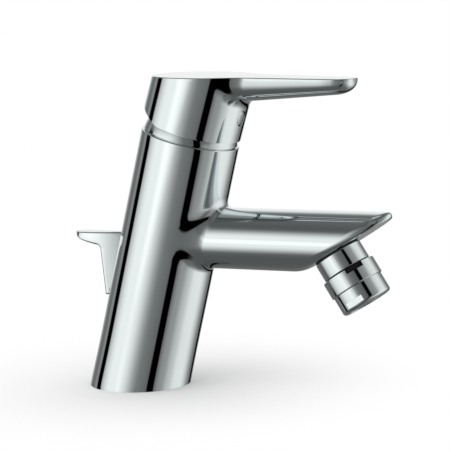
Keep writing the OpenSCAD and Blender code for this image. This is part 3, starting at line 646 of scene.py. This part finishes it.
def lever_skin(s, lean):
    """Outer skin of cap and handle, in the frame of the flat top."""
    skin = Skin()
    root_lean = lean + s.cap_tilt - s.top_slope
    tan, cos, sin = math.tan(root_lean), math.cos(root_lean), math.sin(root_lean)
    root_x = s.cap_r / cos + MM
    # The tip's belly rounds up to a thin edge over this length
    bull_len, bull_edge = 8 * MM, 2 * MM
    edge_steps, grid_margin = 5, 0.5 * MM
    bull_start, nose_start = s.handle_len - bull_len, s.handle_len - s.nose_len

    def cap_front(y, z):
        return math.sqrt(s.cap_r ** 2 - y * y) / cos + z * tan

    def line(x, a, b):
        return a + (b - a) * (x - root_x) / (bull_start - root_x)

    def nose(x):
        return max(0, x - nose_start) / s.nose_len

    def bull(x):
        return math.sqrt(max(0, 1 - (max(0, x - bull_start) / bull_len) ** 2))

    def shape(x):
        """Half width, thickness and power of the cross-section."""
        t = bull_edge + (line(x, s.root_thick, s.tip_thick) - bull_edge) * bull(x)
        w = line(x, s.root_half, s.tip_half) * (1 - nose(x) ** 3) ** (1 / 3)
        return w, t, s.power + (s.tip_power - s.power) * nose(x) ** 2

    def at(z, w, t, p):
        """Place and outward direction on one side of a cross-section."""
        low = min(1, -z / t)
        y = (1 - low ** p) ** (1 / p)
        n = Vector((y ** (p - 1) / w, -low ** (p - 1) / t)).normalized()
        return w * y, z, n.x, n.y

    def section(w, t, p):
        """Half a cross-section from the top edge's rounding to the middle."""
        heights = list(np.linspace(s.edge, max(0.5 * t, s.edge * 1.2), 7))
        first = math.asin((heights[-1] / t) ** (p / 2))
        heights += [t * math.sin(turn) ** (2 / p) for turn in np.linspace(first, math.pi / 2, 19)[1:]]
        return [at(-h, w, t, p) for h in heights]

    root = (s.root_half, s.root_thick, s.power)

    def blend_place(y, z, ny, nz, turn):
        b = s.side_blend * ny ** 2 + s.under_blend * nz ** 2
        q, d = y + ny * b * (1 - math.sin(turn)), z + nz * b * (1 - math.sin(turn))
        return Vector((cap_front(q, d) + b * (1 - math.cos(turn)), q, d))

    def blend_column(turn):
        return lambda z, side: Vector((1, side, 1)) * blend_place(*at(z, *root), turn)

    def handle_column(x):
        return lambda z, side: Vector((x, side * at(z, *shape(x))[0], z))

    def mirrored(points):
        return list(points) + [Vector((p.x, -p.y, p.z)) for p in reversed(points[:-1])]

    turns = [math.radians(t) for t in np.linspace(0, 90, 16)]
    first, last = root_x + s.under_blend + 2 * MM, s.handle_len - bull_len
    stations = [first + (last - first) * i / 14 for i in range(15)]
    tip_turns = [math.radians(a) for a in (*range(4, 80, 4), 80, 82, 84, 85.5, 87)]
    stations += [s.handle_len - bull_len * (1 - math.sin(a)) for a in tip_turns]
    rings = [skin.ring(mirrored([blend_place(*q, turn) for q in section(*root)])) for turn in turns]
    rings += [skin.ring(mirrored([Vector((x, q[0], q[1])) for q in section(*shape(x))])) for x in stations]
    for one, two in zip(rings, rings[1:]):
        skin.strip(one, two, closed=False)

    # Outline of the flat top: cap from the handle's left root round the back, right side, tip, left side
    columns = [blend_column(t) for t in turns] + [handle_column(x) for x in stations]
    start = math.asin(columns[0](-s.edge, 1).y / s.cap_r)
    cap_turns = list(np.linspace(start, ROUND - start, 150))[1:-1]
    end_x = stations[-1]
    end_half = at(0, *shape(end_x))[0]

    def cap_column(t):
        x, y = s.cap_r * math.cos(t), s.cap_r * math.sin(t)
        return lambda z, side=1: Vector((x / cos + z * tan, y, z))

    def tip_column(y):
        return lambda z, side=1: Vector((end_x, y, z))

    tips = [tip_column(y) for y in np.linspace(-end_half, end_half, 5)[1:-1]]
    walls = [(columns[0], 1)] + [(cap_column(t), 1) for t in cap_turns]
    walls += [(c, -1) for c in columns] + [(c, 1) for c in tips] + [(c, 1) for c in reversed(columns[1:])]
    plan = [c(0, side) for c, side in walls]
    outs = []
    for i in range(len(plan)):
        step = plan[(i + 1) % len(plan)] - plan[i - 1]
        outs.append(Vector((step.y, -step.x, 0)).normalized())
    arcs = []
    for k in range(edge_steps + 1):
        turn = math.pi / 2 * k / edge_steps
        z, inset = -s.edge * (1 - math.sin(turn)), s.edge * (1 - math.cos(turn))
        arcs.append([c(z, side) - inset * n for (c, side), n in zip(walls, outs)])
    edge_rings = [skin.ring(points) for points in arcs]
    for one, two in zip(edge_rings, edge_rings[1:]):
        skin.strip(one, two)
    skin.faces.append(tuple(edge_rings[-1]))

    # Flat end of the handle, under the tip's rounded edge
    tip_at = 1 + len(cap_turns) + len(columns)
    tip_row = edge_rings[0][tip_at:tip_at + len(tips)]
    skin.faces.append(tuple(rings[-1] + list(tip_row)))

    # Cap wall, unrolled round its own axis
    def unroll(p):
        x, h = p.x * cos - p.z * sin, p.x * sin + p.z * cos
        return s.cap_r * math.atan2(p.y, x), h

    def cap_wall(u, h):
        t = u / s.cap_r
        x = s.cap_r * math.cos(t)
        return Vector((x * cos + h * sin, s.cap_r * math.sin(t), -x * sin + h * cos))

    def low_h(t):
        back = -s.rear_start + s.cap_back - s.cap_r * math.cos(t)
        return s.cap_low - s.cap_high + max(0, back) * math.tan(s.rear_cut)

    crease = math.acos((s.cap_back - s.rear_start) / s.cap_r)
    low_turns = sorted([math.radians(t) for t in range(-180, 181, 2)] + [-crease, crease])
    foot = skin.ring(cap_wall(s.cap_r * t, low_h(t)) for t in low_turns)
    edge = s.cap_r * math.pi
    back_top = cap_column(math.pi)(-s.edge)
    back_high = unroll(back_top)[1]
    side = list(np.linspace(low_h(math.pi), back_high, 10)[1:-1])
    seams = [skin.ring([cap_wall(s.cap_r * t, h) for h in side] + [back_top]) for t in (math.pi, -math.pi)]
    heights = side + [back_high]
    row = edge_rings[0][:2 + len(cap_turns)]
    left = [n for n in row if skin.points[n].y > 1e-6]
    right = [n for n in row if skin.points[n].y < -1e-6]
    outline = [((s.cap_r * t, low_h(t)), n) for t, n in zip(low_turns, foot)]
    outline += [((edge, h), n) for h, n in zip(heights, seams[0])]
    outline += [(unroll(skin.points[n]), n) for n in left[::-1] + rings[0][1:-1] + right[::-1]]
    outline += [((-edge, h), n) for h, n in zip(reversed(heights), reversed(seams[1]))]
    rows = np.arange(-26, 12, 1.6) * MM
    grid = [(s.cap_r * math.radians(t), h) for t in range(-178, 180, 2) for h in rows]
    patch(skin, [outline], grid, cap_wall, grid_margin)

    # Underside: a level front part and a slanted rear part
    front_part = [n for t, n in zip(low_turns, foot) if abs(t) <= crease + 1e-9]
    rear_left = [n for t, n in zip(low_turns, foot) if t >= crease - 1e-9]
    rear_right = [n for t, n in zip(low_turns, foot) if t <= -crease + 1e-9]
    skin.faces.append(tuple(front_part))
    skin.faces.append(tuple(rear_left + rear_right[1:]))
    return skin


def lever_cutters(pivot, at_plug):
    """Closed tools for the cap's hollow, the spindle's socket, the set screw and the plug."""
    # A ball's shape in millimetres, with a boss for the spindle and a rib for the screw left in it
    cave, ceiling, boss_r, boss_low = 22.5, 18.8, 8, 14
    profile = [(0, -cave)] + [p[:2] for p in arc(0, cave, -cave + 0.2, ceiling, 40)]
    profile += [(boss_r, ceiling), (boss_r, boss_low), (0, boss_low)]
    rib_half, rib_low, rib_high, rib_reach = 4 * MM, 15 * MM, 40 * MM, 30 * MM
    rib = block((0, -rib_half, rib_low), (rib_reach, rib_half, rib_high))
    hollow = carve("cap_hollow", turned(profile, 128, False), [rib])
    hollow.transform(pivot)
    square, socket_high = 3.95 * MM, 28 * MM
    screw_r, hole_r, hole_floor, far = 2.05 * MM, 3.65 * MM, 19.6 * MM, 60 * MM
    return [
        hollow,
        block((-square, -square, 0), (square, square, socket_high)).lay(pivot),
        rod(screw_r, 0, far).lay(at_plug),
        rod(hole_r, hole_floor, far).lay(at_plug),
    ]


class MixerMakeLever(bpy.types.Operator):
    """Build the lever's cap and handle"""
    bl_idname = "mixer.make_lever"
    bl_label = "Lever"

    def execute(self, context):
        body, s = context.scene.mixer_body, context.scene.mixer_lever
        pivot = on_pivot(body, s)
        top = pivot @ Matrix.Translation((-s.cap_back, 0, s.cap_high))
        top = top @ Matrix.Rotation(s.top_slope - body.lean - s.cap_tilt, 4, "Y")
        at_plug = pivot @ Matrix.Translation((0, 0, s.plug_h)) @ ALONG_X
        mesh = carve("lever_shell", lever_skin(s, body.lean).lay(top), lever_cutters(pivot, at_plug))
        stand("lever_shell", mesh, "lever_arm", "lever")
        # The plug is a disc with a rounded edge and a slight dome, in millimetres
        face = (s.cap_r - s.cap_back) / MM
        plug_r, thick, edge, shoulder, edge_turn = 3.3, 3, 0.6, face - 0.85, 1.45
        profile = [(0, face - thick), (plug_r, face - thick)]
        for turn in np.linspace(0, edge_turn, 7):
            profile.append((plug_r - edge + edge * math.cos(turn), shoulder + edge * math.sin(turn)))
        profile += [(1.4, face - 0.16), (0, face - 0.12)]
        skin = turned(profile, 64, False).lay(at_plug)
        stand("plug_button", skin.mesh("plug_button"), "lever_arm", "index_plug")
        return {"FINISHED"}


# Turned chrome pieces

class MixerMakeShroud(bpy.types.Operator):
    """Build the domed shroud between body and cap"""
    bl_idname = "mixer.make_shroud"
    bl_label = "Shroud"

    def execute(self, context):
        body, lever = context.scene.mixer_body, context.scene.mixer_lever
        # Millimetres; the dome starts above the body's top edge, so that a seam shows between them
        hub = lever.pivot_z / MM
        dome_r, wall, skirt_r, hole_r, edge = 22.2, 1.8, 20.9, 14.5, 0.3
        foot, seam, top = 118.1, 122.45, hub + 12.5
        profile = [(skirt_r, foot, 0), (skirt_r, seam, 0)] + arc(hub, dome_r, seam, top, 16)
        profile[-1] = (*profile[-1][:2], edge)
        profile += [(hole_r, top, edge), (hole_r, top - wall, 0)]
        profile += arc(hub, dome_r - wall, top - wall, foot, 16)
        skin = turned(soft_profile(profile), 160).lay(on_body(body))
        stand("shroud_dome", skin.mesh("shroud_dome"), "fixed", "shroud")
        return {"FINISHED"}


class MixerMakeNozzle(bpy.types.Operator):
    """Build the nozzle's connector, cup and aerator housing"""
    bl_idname = "mixer.make_nozzle"
    bl_label = "Nozzle"

    def execute(self, context):
        body, s = context.scene.mixer_body, context.scene.mixer_nozzle
        seat = on_nozzle(body, s)
        # Millimetres from the mouth plane, down the nozzle's axis
        edge, top, end = s.edge / MM, s.cup_top / MM, (s.cup_top + s.cup_h) / MM
        low = end + s.aerator_h / MM
        barrel, cup, housing = s.barrel_r / MM, s.cup_r / MM, s.aerator_r / MM
        start, stop = s.washer_gap / MM + 0.05, top - 0.5

        # The barrel's rim laps the edge of the washer that it presses on
        lap_r, lap = 10.95, start - 0.4
        bore_r, plug_r, plug_low, nose_r, nose_end, ball_r = 5, 9.9, -7, 10.4, top + 3, 10
        profile = [(bore_r, plug_low, 0.3), (plug_r, plug_low, 0.6), (plug_r, start, 0)]
        profile += [(lap_r, start, 0), (lap_r, lap, 0), (barrel, lap, 0.2), (barrel, stop, edge)]
        profile += [(nose_r, stop, 0), (nose_r, nose_end, 0.25)]
        profile += arc(top, ball_r, nose_end, top - math.sqrt(ball_r ** 2 - bore_r ** 2), 20)
        mesh = turned(soft_profile(profile)).mesh("nozzle_barrel")
        inner = [i for i, f in enumerate(mesh.polygons)
                 if f.center.z > (stop - 0.01) * MM and f.center.xy.length < (nose_r + 0.5) * MM]
        mesh.transform(seat)
        stand("nozzle_barrel", mesh, "fixed", "nozzle_connector")
        # The nose inside the cup gets painted shade, a nearly black colour, which the notch shows as black
        # like a shadowed gap
        mesh.materials.append(FINISHES["greased_brass"])
        for i in inner:
            mesh.polygons[i].material_index = 1

        neck_r, cup_wall, cup_floor = 5.6, 0.7, top + 5.9
        profile = [(cup - cup_wall, top, 0.2), (cup, top, 0.3), (cup, end, edge), (neck_r, end, 0.2)]
        profile += [(neck_r, cup_floor, 0.2), (cup - cup_wall, cup_floor, 0.3)]
        notch_half, notch_deep, notch_turn, far = 4.3 * MM, 2.2, math.radians(-38), 30 * MM
        notch = block((-notch_half, -far, (top - 1) * MM), (notch_half, 0, (top + notch_deep) * MM))
        notch.lay(Matrix.Rotation(notch_turn, 4, "Z"))
        mesh = carve("nozzle_cup_ring", turned(soft_profile(profile)), [notch])
        mesh.transform(seat)
        stand("nozzle_cup_ring", mesh, "nozzle", "nozzle_cup")

        mouth_r, mouth_edge, shelf = 9.8, 1.5, end + 2.4
        profile = [(neck_r, end, 0.2), (housing, end, edge), (housing, low, mouth_edge), (mouth_r, low, 0.3)]
        profile += [(mouth_r, shelf, 0), (neck_r, shelf, 0.2)]
        flat_deep, flat_low, flat_high, far = 0.8, (end + 5.1) * MM, (end + 7.7) * MM, 40 * MM
        flats = []
        for y in (housing - flat_deep, flat_deep - housing):
            near, away = sorted((y * MM, y * 3 * MM))
            flats.append(block((-far, near, flat_low), (far, away, flat_high)))
        mesh = carve("aerator_sleeve", turned(soft_profile(profile, 8)), flats)
        mesh.transform(seat)
        stand("aerator_sleeve", mesh, "nozzle", "aerator_housing", sharp=17)
        return {"FINISHED"}


# Pop-up pull

def knob_skin(body, s):
    """The knob: a finger lip and a stem with rounded edges, round at the lip's end and bowed at its sides."""
    def back_of_body(z):
        return z * math.tan(body.lean) - body.radius / math.cos(body.lean) - s.gap

    bow_start, bow_len = 7 * MM, 13 * MM

    def half(x):
        end, bowed = s.half - s.back - x, x + s.back - bow_start
        return math.sqrt(max(0, s.half ** 2 - max(0, end) ** 2)) - s.bow * (max(0, bowed) / bow_len) ** 2

    # The stem's rear edge, at its foot and under the lip
    stem_low, stem_high = -body.rod_back - 2.9 * MM, -body.rod_back - 4.7 * MM
    lip_power, fit_depth = 2.6, 3 * MM
    lip_z, lip_end = s.top - s.lip_h, stem_high - s.crook
    # The side's outline: the top, the lip's blunt end and underside, the crook, the stem and its foot
    blunt = 0.3
    side = [(back_of_body(s.top), s.top)]
    side += [(x, s.top) for x in np.linspace(-10, -28, 10) * MM] + [(-s.back, s.top)]
    for u in np.linspace(blunt, 1, 9):
        side.append((-s.back + (lip_end + s.back) * u ** lip_power, s.top - s.lip_h * u))
    for turn in np.linspace(0, math.pi / 2, 7)[1:]:
        side.append((lip_end + s.crook * math.sin(turn), lip_z - s.crook * (1 - math.cos(turn))))
    side += [(stem_low, s.foot), (back_of_body(s.foot), s.foot)]
    outs = []
    for i, p in enumerate(side):
        one = (Vector(p) - Vector(side[i - 1])).normalized()
        two = (Vector(side[(i + 1) % len(side)]) - Vector(p)).normalized()
        mid = (one + two).normalized()
        low = float(min(1, (s.top - p[1]) / (s.lip_h + s.crook)))
        reach = s.edge + (s.stem_edge - s.edge) * low ** 3
        outs.append(reach * Vector((-mid.y, mid.x)) / max(0.4, mid.dot(one)))
    # The top is crowned across, the edge towards the body stays square
    wides = [s.crown if p[1] == s.top else min(out.length, s.stem_edge) for p, out in zip(side, outs)]
    slant = Vector((math.tan(body.lean), 1))
    outs[0], outs[-1] = -s.edge * slant, s.stem_edge * slant

    skin = Skin()
    last = []
    for hand in (1, -1):
        rings = []
        for turn in np.linspace(0, math.pi / 2, 7):
            flat = [Vector(p) + out * (1 - math.sin(turn)) for p, out in zip(side, outs)]
            sunk = [1 - wide / s.half * (1 - math.cos(turn)) for wide in wides]
            rings.append(skin.ring((x, hand * half(x) * share, z) for (x, z), share in zip(flat, sunk)))
            if turn == 0:
                border = [(tuple(p), n) for p, n in zip(flat, rings[0])]
        for one, two in zip(rings, rings[1:]):
            skin.strip(one, two)
        grid = [(x * MM, z * MM) for x in np.arange(-31, -5, 0.9) for z in np.arange(43, 73, 3)]
        patch(skin, [border], grid, lambda x, z: Vector((x, hand * half(x), z)), 0.4 * MM)
        last.append(rings[-1])
    skin.strip(*last)
    # The edge towards the body follows its round back
    for p in skin.points:
        near = max(0, 1 - (back_of_body(p.z) - p.x) / fit_depth)
        p.x += near * (body.radius - math.sqrt(body.radius ** 2 - p.y ** 2)) / math.cos(body.lean)
    return skin


def dress(nodes, finish):
    """Gives a finish to CAD nodes that keep their own meshes."""
    for node in nodes:
        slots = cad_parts[node].data.materials
        slots.clear()
        slots.append(FINISHES[finish])


class MixerMakePull(bpy.types.Operator):
    """Finish the pop-up pull's knob, rod and guide"""
    bl_idname = "mixer.make_pull"
    bl_label = "Pop-up pull"

    def execute(self, context):
        body, s = context.scene.mixer_body, context.scene.mixer_pull
        mesh = knob_skin(body, s).mesh("pull_knob")
        # The sleeve inside the stem that holds the rod
        hole_r, boss_r, low, high = 2.55 * MM, 3.2 * MM, s.foot + 0.5 * MM, s.foot + 15 * MM
        boss = lathe([(hole_r, low), (boss_r, low), (boss_r, high), (hole_r, high)], 48)
        boss = boss.lay(Matrix.Translation((-body.rod_back, 0, 0))).mesh("knob_boss")
        work = bmesh.new()
        work.from_mesh(mesh)
        work.from_mesh(boss)
        work.to_mesh(mesh)
        work.free()
        stand("pull_knob", mesh, "pull", "popup_knob")
        dress(["popup_rod"], "pressed_steel")
        dress(["rod_guide"], "white_acetal")
        return {"FINISHED"}


# Inner pieces

class MixerMakeInside(bpy.types.Operator):
    """Finish the cartridge, the seals and the other inner pieces"""
    bl_idname = "mixer.make_inside"
    bl_label = "Inner pieces"

    def execute(self, context):
        dress(["cartridge_base", "cartridge_housing", "ball_seat"], "white_acetal")
        dress(["disc_carrier"], "blue_acetal")
        dress(["rotor", "aerator_insert"], "grey_acetal")
        dress(["fixed_disc", "moving_disc"], "sintered_ceramic")
        dress(["spindle", "retaining_nut", "nozzle_ball"], "turned_brass")
        dress(["pivot_pin"], "pressed_steel")
        dress(["set_screw"], "dark_steel")
        dress(["base_seal", "port_seals", "connector_washer", "aerator_washer"], "black_rubber")
        return {"FINISHED"}


# Stage

# Light boxes round the mixer, in degrees: turn, height, half width and half height of the even part,
# half width and half height where the fade ends; then the level
LIGHT_BOXES = [
    (-130, -1, 10, 12, 55, 43, 1.03),
    (-125, -2, 30, 20, 80, 55, 0.12),
    (30, 0, 8, 26, 50, 60, 0.92),
    (24, -5, 30, 40, 75, 70, 0.10),
    (119, 16, 5, 10, 34, 38, 0.95),
    (119, 5, 20, 25, 80, 75, 0.10),
    (172, 0, 1, 30, 10, 50, 0.14),
    (-104, -3, 12, 4, 26, 9, 0.25),
    (-16, -20, 8, 12, 26, 22, 0.2),
    (-70, -20, 10, 12, 24, 22, 0.05),
    (-24, 32, 10, 6, 18, 20, 0.15),
    (0, 90, 180, 20, 181, 45, 0.05),
    (0, 90, 180, 5, 181, 16, 0.5),
]
# Dark screens between them, in degrees: turn, half width of the dark part and where its fade ends,
# heights where it starts to fade in, is dark, starts to fade out and is gone
DARK_SCREENS = [
    (-45.5, 6.8, 9.8, -65, -42, 33, 42),
    (-174.5, 6, 9.2, -60, -45, 12, 24),
    (92, 4, 12, -88, -80, -8, 8),
]
# Levels of the room in the chrome, of the even light on all else, and of the grey card
ROOM_LEVEL, EVEN_LEVEL, CARD_LEVEL = 0.13, 0.9, 0.18
# Floor: radius of its middle and of its edge, and where its shadow starts to fade and is gone, in metres
FLOOR_MIDDLE, FLOOR_EDGE, SHADOW_FULL, SHADOW_NONE = 0.3, 3.0, 0.03, 0.14
# Lamp: width in metres, power in watts, place and aim in metres
LAMP_WIDE, LAMP_POWER, LAMP_PLACE, LAMP_AIM = 1.2, 4.0, (-0.3, -0.9, 1.3), (0.04, 0, 0.07)
# Grey card's corners in millimetres
CARD = [(133.6, -41, 104), (174.4, -51, 104), (174.4, -51, 141), (133.6, -41, 141)]
# Camera: width of its sensor in millimetres, and the nearest thing that it shows in metres
SENSOR_MM, NEAREST = 36, 0.01
WHITE = (1, 1, 1, 1)


def studio_light(tree):
    """Brightness of the studio by direction: soft light boxes with dark screens between them."""
    way = add(tree, "ShaderNodeTexCoord").outputs["Generated"]
    split = add(tree, "ShaderNodeSeparateXYZ", {0: way})
    turn = calc(tree, "ARCTAN2", split.outputs["Y"], split.outputs["X"])
    height = calc(tree, "ARCSINE", split.outputs["Z"])

    def off(value, middle):
        raw = calc(tree, "SUBTRACT", value, math.radians(middle))
        return calc(tree, "ABSOLUTE", calc(tree, "WRAP", raw, math.pi, -math.pi))

    def fade(value, full, none):
        return add(tree, "ShaderNodeMapRange", {
            "Value": value, "From Min": math.radians(none), "From Max": math.radians(full)},
            interpolation_type="SMOOTHSTEP").outputs["Result"]

    def times(one, two):
        return calc(tree, "MULTIPLY", one, two)

    light = ROOM_LEVEL
    for az, el, wide, tall, wide_fade, tall_fade, level in LIGHT_BOXES:
        box = times(fade(off(turn, az), wide, wide_fade), fade(off(height, el), tall, tall_fade))
        light = calc(tree, "ADD", light, times(box, level))
    for az, dark, clear, under, low, high, over in DARK_SCREENS:
        shade = times(fade(off(turn, az), dark, clear), fade(height, high, over))
        light = times(light, calc(tree, "SUBTRACT", 1.0, times(shade, fade(height, low, under))))
    return light


class MixerMakeStage(bpy.types.Operator):
    """Set up the pale floor, the soft studio light and the camera"""
    bl_idname = "mixer.make_stage"
    bl_label = "Stage"

    def execute(self, context):
        s, scene = context.scene.mixer_stage, context.scene
        scene.view_settings.view_transform = "Standard"

        world = bpy.data.worlds.new("studio")
        scene.world = world
        tree = empty_tree(world)
        path = add(tree, "ShaderNodeLightPath")
        even = add(tree, "ShaderNodeBackground", {"Color": WHITE, "Strength": EVEN_LEVEL})
        white = add(tree, "ShaderNodeBackground", {"Color": WHITE, "Strength": 1.0})
        boxes = add(tree, "ShaderNodeBackground", {"Strength": studio_light(tree)})
        mirror = mix(tree, path.outputs["Is Glossy Ray"], even, boxes)
        seen = mix(tree, path.outputs["Is Camera Ray"], mirror, white)
        add(tree, "ShaderNodeOutputWorld", {"Surface": seen.outputs[0]})

        skin = Skin()
        turns = [ROUND * i / 96 for i in range(96)]
        rings = []
        for r in (FLOOR_MIDDLE, FLOOR_EDGE):
            rings.append(skin.ring((r * math.cos(t), r * math.sin(t), 0) for t in turns))
        skin.faces.append(tuple(rings[0]))
        skin.strip(*rings)
        floor = put("floor", skin.mesh("floor"))
        floor.visible_glossy = False
        mat = bpy.data.materials.new("floor_matt_paint")
        tree = empty_tree(mat)
        place = add(tree, "ShaderNodeTexCoord").outputs["Object"]
        reach = add(tree, "ShaderNodeVectorMath", {0: place}, operation="LENGTH").outputs["Value"]
        away = add(tree, "ShaderNodeMapRange", {
            "Value": reach, "From Min": SHADOW_FULL, "From Max": SHADOW_NONE},
            interpolation_type="SMOOTHSTEP").outputs["Result"]
        path = add(tree, "ShaderNodeLightPath")
        share = calc(tree, "MULTIPLY", away, path.outputs["Is Camera Ray"])
        paint = add(tree, "ShaderNodeBsdfDiffuse", {"Color": (*s.floor, 1)})
        glow = add(tree, "ShaderNodeEmission", {"Color": WHITE, "Strength": 1.0})
        add(tree, "ShaderNodeOutputMaterial", {"Surface": mix(tree, share, paint, glow).outputs[0]})
        floor.data.materials.append(mat)

        lamp = put("soft_lamp", bpy.data.lights.new("soft_lamp", "AREA"))
        lamp.data.size = LAMP_WIDE
        lamp.data.energy = LAMP_POWER
        lamp.location = LAMP_PLACE
        lamp.rotation_euler = (Vector(LAMP_AIM) - lamp.location).to_track_quat("-Z", "Y").to_euler()
        lamp.visible_glossy = False

        # Upright grey card near the handle's tip, which keeps a dark screen's reflection out of the tip
        skin = Skin()
        skin.faces.append(tuple(skin.ring(Vector(corner) * MM for corner in CARD)))
        card = put("grey_card", skin.mesh("grey_card"))
        card.visible_camera = False
        card.visible_diffuse = False
        card.visible_shadow = False
        card.visible_transmission = False
        mat = bpy.data.materials.new("grey_card")
        tree = empty_tree(mat)
        dim = add(tree, "ShaderNodeEmission", {"Color": WHITE, "Strength": CARD_LEVEL})
        add(tree, "ShaderNodeOutputMaterial", {"Surface": dim.outputs[0]})
        card.data.materials.append(mat)

        turn, rise = s.azimuth, s.elevation
        back = Vector((math.sin(turn) * math.cos(rise), -math.cos(turn) * math.cos(rise), math.sin(rise)))
        right = Vector((math.cos(turn), math.sin(turn), 0))
        up = back.cross(right)
        c, d = math.cos(s.roll), math.sin(s.roll)
        right, up = right * c + up * d, up * c - right * d
        camera = put("camera", bpy.data.cameras.new("camera"))
        place = Matrix.Translation(Vector((s.target_x, 0, s.target_z)) + back * s.distance)
        camera.matrix_world = place @ Matrix((right, up, back)).transposed().to_4x4()
        camera.data.lens = s.lens
        camera.data.sensor_width = SENSOR_MM
        camera.data.clip_start = NEAREST
        scene.camera = camera
        return {"FINISHED"}


STEPS = [MixerMakeFinishes, MixerMakeStage, MixerMakeBody, MixerMakeLever, MixerMakeShroud, MixerMakeNozzle,
         MixerMakePull, MixerMakeInside]
GROUPS = {
    "mixer_body": MixerBodySizes, "mixer_lever": MixerLeverSizes, "mixer_pull": MixerPullSizes,
    "mixer_nozzle": MixerNozzleSizes, "mixer_finishes": MixerFinishes, "mixer_stage": MixerStage,
}


class MixerPanel(bpy.types.Panel):
    """Lists the mixer's sizes, colours and pieces"""
    bl_idname = "VIEW3D_PT_mixer"
    bl_label = "Bidet mixer"
    bl_space_type = "VIEW_3D"
    bl_region_type = "UI"
    bl_category = "Mixer"

    def draw(self, context):
        for step in STEPS:
            self.layout.operator(step.bl_idname)
        for name, group in GROUPS.items():
            box = self.layout.box()
            for size in group.__annotations__:
                box.prop(getattr(context.scene, name), size)


def register():
    for group in GROUPS.values():
        bpy.utils.register_class(group)
    for step in STEPS:
        bpy.utils.register_class(step)
    bpy.utils.register_class(MixerPanel)
    for name, group in GROUPS.items():
        setattr(bpy.types.Scene, name, bpy.props.PointerProperty(type=group))


def unregister():
    for name in GROUPS:
        delattr(bpy.types.Scene, name)
    for kind in [MixerPanel] + STEPS + list(GROUPS.values()):
        bpy.utils.unregister_class(kind)


def main():
    register()
    bpy.ops.mixer.make_finishes()
    bpy.ops.mixer.make_stage()
    bpy.ops.mixer.make_body()
    bpy.ops.mixer.make_lever()
    bpy.ops.mixer.make_shroud()
    bpy.ops.mixer.make_nozzle()
    bpy.ops.mixer.make_pull()
    bpy.ops.mixer.make_inside()


if __name__ == "__main__":
    main()
